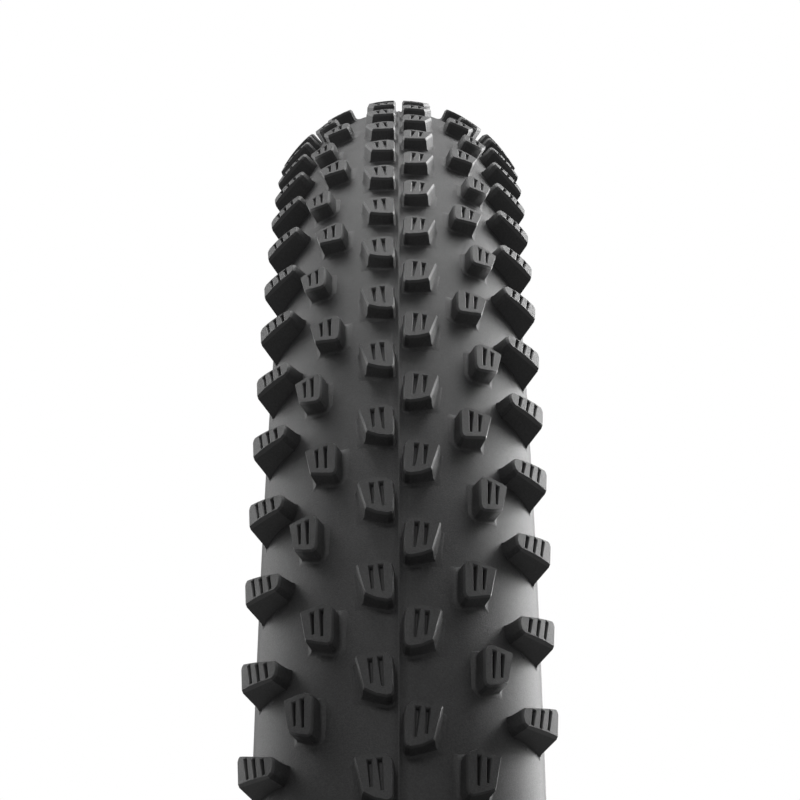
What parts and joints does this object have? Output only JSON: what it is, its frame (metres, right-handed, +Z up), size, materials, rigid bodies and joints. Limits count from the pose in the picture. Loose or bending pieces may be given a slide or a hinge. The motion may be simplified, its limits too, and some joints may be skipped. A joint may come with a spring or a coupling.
{
  "type": "bicycle tire",
  "caption": "Knobby mountain bike tire, inflated and off its rim, with low siped centre knobs, staggered middle knobs, tall slotted shoulder knobs and folding beads.",
  "frame": {"origin": "centre of the wheel, on the axle and in the tire's middle plane", "axes": "+Y along the axle, from the middle plane to the right-hand sidewall; +Z up; the near side of the tread faces +X, where the tread moves up when the wheel turns about -Y"},
  "size_m": [0.7366, 0.0576, 0.7366],
  "materials": {
    "tread_rubber": "matte",
    "sidewall_rubber": "satin",
    "chafer_rubber": "matte",
    "apex_rubber": "matte",
    "liner_rubber": "satin",
    "casing_cord": "woven, rubber coated",
    "belt_fabric": "woven",
    "bead_cord": "stranded",
    "wrap_fabric": "woven"
  },
  "bodies": {
    "root": {"inner_liner": "liner_rubber", "inner_ply": "casing_cord", "outer_ply": "casing_cord", "breaker_belt": "belt_fabric", "bead_core_left": "bead_cord", "bead_core_right": "bead_cord", "bead_wrap_left": "wrap_fabric", "bead_wrap_right": "wrap_fabric", "apex_left": "apex_rubber", "apex_right": "apex_rubber", "chafer_left": "chafer_rubber", "chafer_right": "chafer_rubber", "sidewall_left": "sidewall_rubber", "sidewall_right": "sidewall_rubber", "tread_base": "tread_rubber", "centre_knobs_left": "tread_rubber", "centre_knobs_right": "tread_rubber", "middle_knobs_left": "tread_rubber", "middle_knobs_right": "tread_rubber", "shoulder_knobs_left": "tread_rubber", "shoulder_knobs_right": "tread_rubber"}
  },
  "joints": []
}
